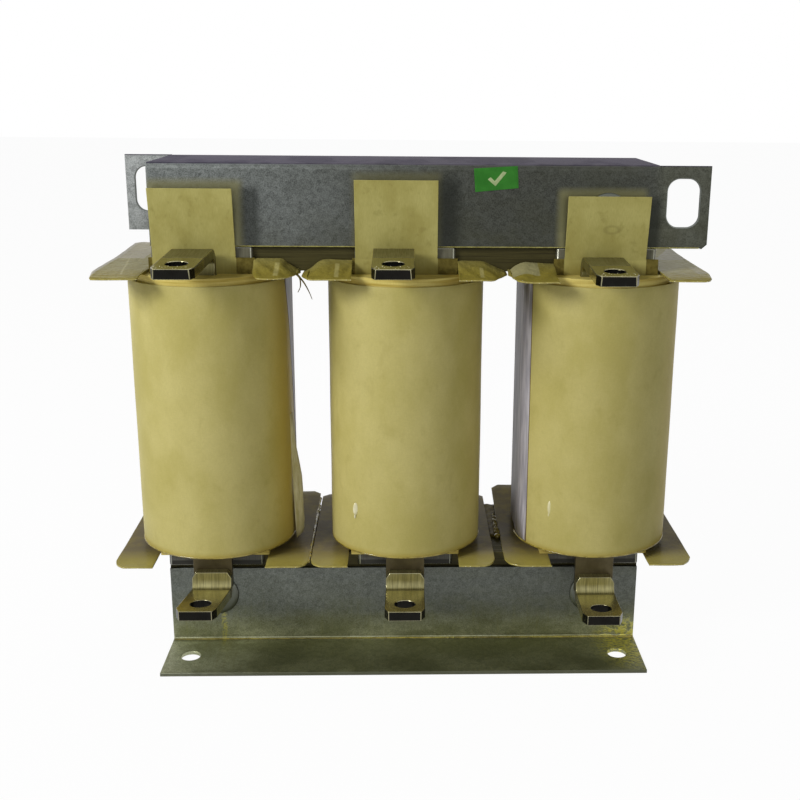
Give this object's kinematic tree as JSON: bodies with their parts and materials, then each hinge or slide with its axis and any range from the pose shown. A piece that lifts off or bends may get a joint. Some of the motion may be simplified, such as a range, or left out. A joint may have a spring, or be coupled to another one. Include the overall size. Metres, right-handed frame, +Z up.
{
  "type": "motor reactor",
  "caption": "Gapped laminated core with upright varnished coils, bent bar terminals, slotted top clamp channel and folded foot brackets.",
  "frame": {"origin": "centre of the four foot holes, on the plane that the feet stand on", "axes": "+X along the core to the right, -Y to the front with the terminals, +Z up"},
  "size_m": [0.3, 0.1601, 0.2543],
  "materials": {
    "varnished_core": "dark brown impregnating varnish over silicon steel laminations",
    "galvanised_sheet": "hot-dip galvanised sheet with spangle, varnish stains",
    "plated_fastener": "zinc plated, varnish tinted",
    "gap_board": "glass-epoxy board",
    "packing_board": "dark varnished board",
    "liner_sheet": "varnished laminated insulating sheet",
    "outer_wrap_sheet": "yellow varnished insulating sheet",
    "side_sheet": "pale film-backed insulating sheet",
    "winding_foil": "copper foil with interlayer insulation",
    "terminal_bar": "tinned copper bar, varnish tinted"
  },
  "bodies": {
    "root": {"lower_core_stack": "varnished_core", "upper_yoke_stack": "varnished_core", "top_clamp_channel": "galvanised_sheet", "front_foot_bracket": "galvanised_sheet", "rear_foot_bracket": "galvanised_sheet", "clamp_bolts": "plated_fastener", "clamp_nuts": "plated_fastener", "left_gap_spacer": "gap_board", "left_front_packing_plate": "packing_board", "left_rear_packing_plate": "packing_board", "left_coil_front_liner": "liner_sheet", "left_coil_rear_liner": "liner_sheet", "left_coil_left_liner": "liner_sheet", "left_coil_right_liner": "liner_sheet", "left_coil_winding": "winding_foil", "left_coil_side_sheets": "side_sheet", "left_coil_front_wrap": "outer_wrap_sheet", "left_coil_rear_wrap": "outer_wrap_sheet", "left_coil_top_terminal": "terminal_bar", "left_coil_bottom_lead": "terminal_bar", "left_coil_bottom_terminal": "terminal_bar", "centre_gap_spacer": "gap_board", "centre_front_packing_plate": "packing_board", "centre_rear_packing_plate": "packing_board", "centre_coil_front_liner": "liner_sheet", "centre_coil_rear_liner": "liner_sheet", "centre_coil_left_liner": "liner_sheet", "centre_coil_right_liner": "liner_sheet", "centre_coil_winding": "winding_foil", "centre_coil_side_sheets": "side_sheet", "centre_coil_front_wrap": "outer_wrap_sheet", "centre_coil_rear_wrap": "outer_wrap_sheet", "centre_coil_top_terminal": "terminal_bar", "centre_coil_bottom_lead": "terminal_bar", "centre_coil_bottom_terminal": "terminal_bar", "right_gap_spacer": "gap_board", "right_front_packing_plate": "packing_board", "right_rear_packing_plate": "packing_board", "right_coil_front_liner": "liner_sheet", "right_coil_rear_liner": "liner_sheet", "right_coil_left_liner": "liner_sheet", "right_coil_right_liner": "liner_sheet", "right_coil_winding": "winding_foil", "right_coil_side_sheets": "side_sheet", "right_coil_front_wrap": "outer_wrap_sheet", "right_coil_rear_wrap": "outer_wrap_sheet", "right_coil_top_terminal": "terminal_bar", "right_coil_bottom_lead": "terminal_bar", "right_coil_bottom_terminal": "terminal_bar"}
  },
  "joints": []
}
